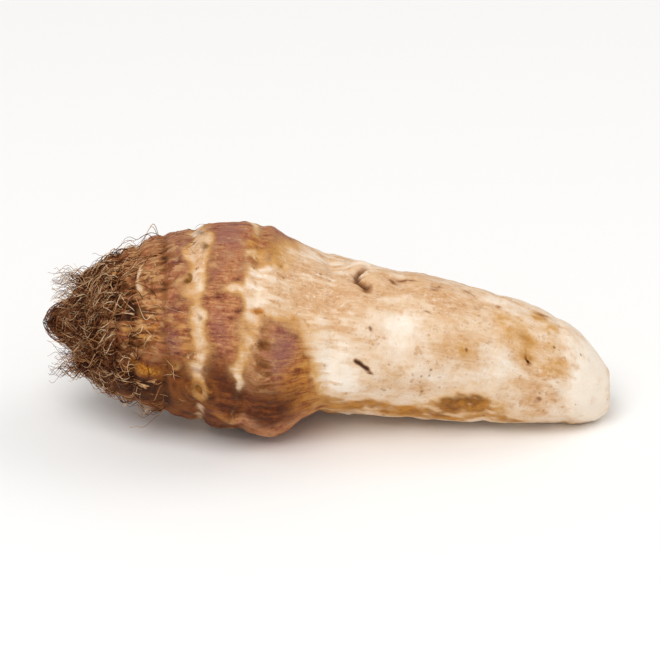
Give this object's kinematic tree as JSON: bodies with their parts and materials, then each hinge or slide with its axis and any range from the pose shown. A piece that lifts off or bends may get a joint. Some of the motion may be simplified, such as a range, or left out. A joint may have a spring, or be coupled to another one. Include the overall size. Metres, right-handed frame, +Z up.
{
  "type": "taro root",
  "caption": "Tapering taro root with a fat ringed head, a bud with dry fibres at its crown and a scar at its tip, lying on its side.",
  "frame": {"origin": "middle of the bounding box's base, on the surface that the root lies on", "axes": "+X from the crown to the broken-off tip, +Z up, -Y the front that the picture shows"},
  "size_m": [0.1174, 0.0432, 0.0434],
  "materials": {
    "taro_skin": "thin cream skin under patches of brown papery sheath, matt",
    "dry_fibre": "fine curling strands of dried leaf sheath, matt"
  },
  "bodies": {
    "root": {"taro_root": "taro_skin"}
  },
  "joints": []
}
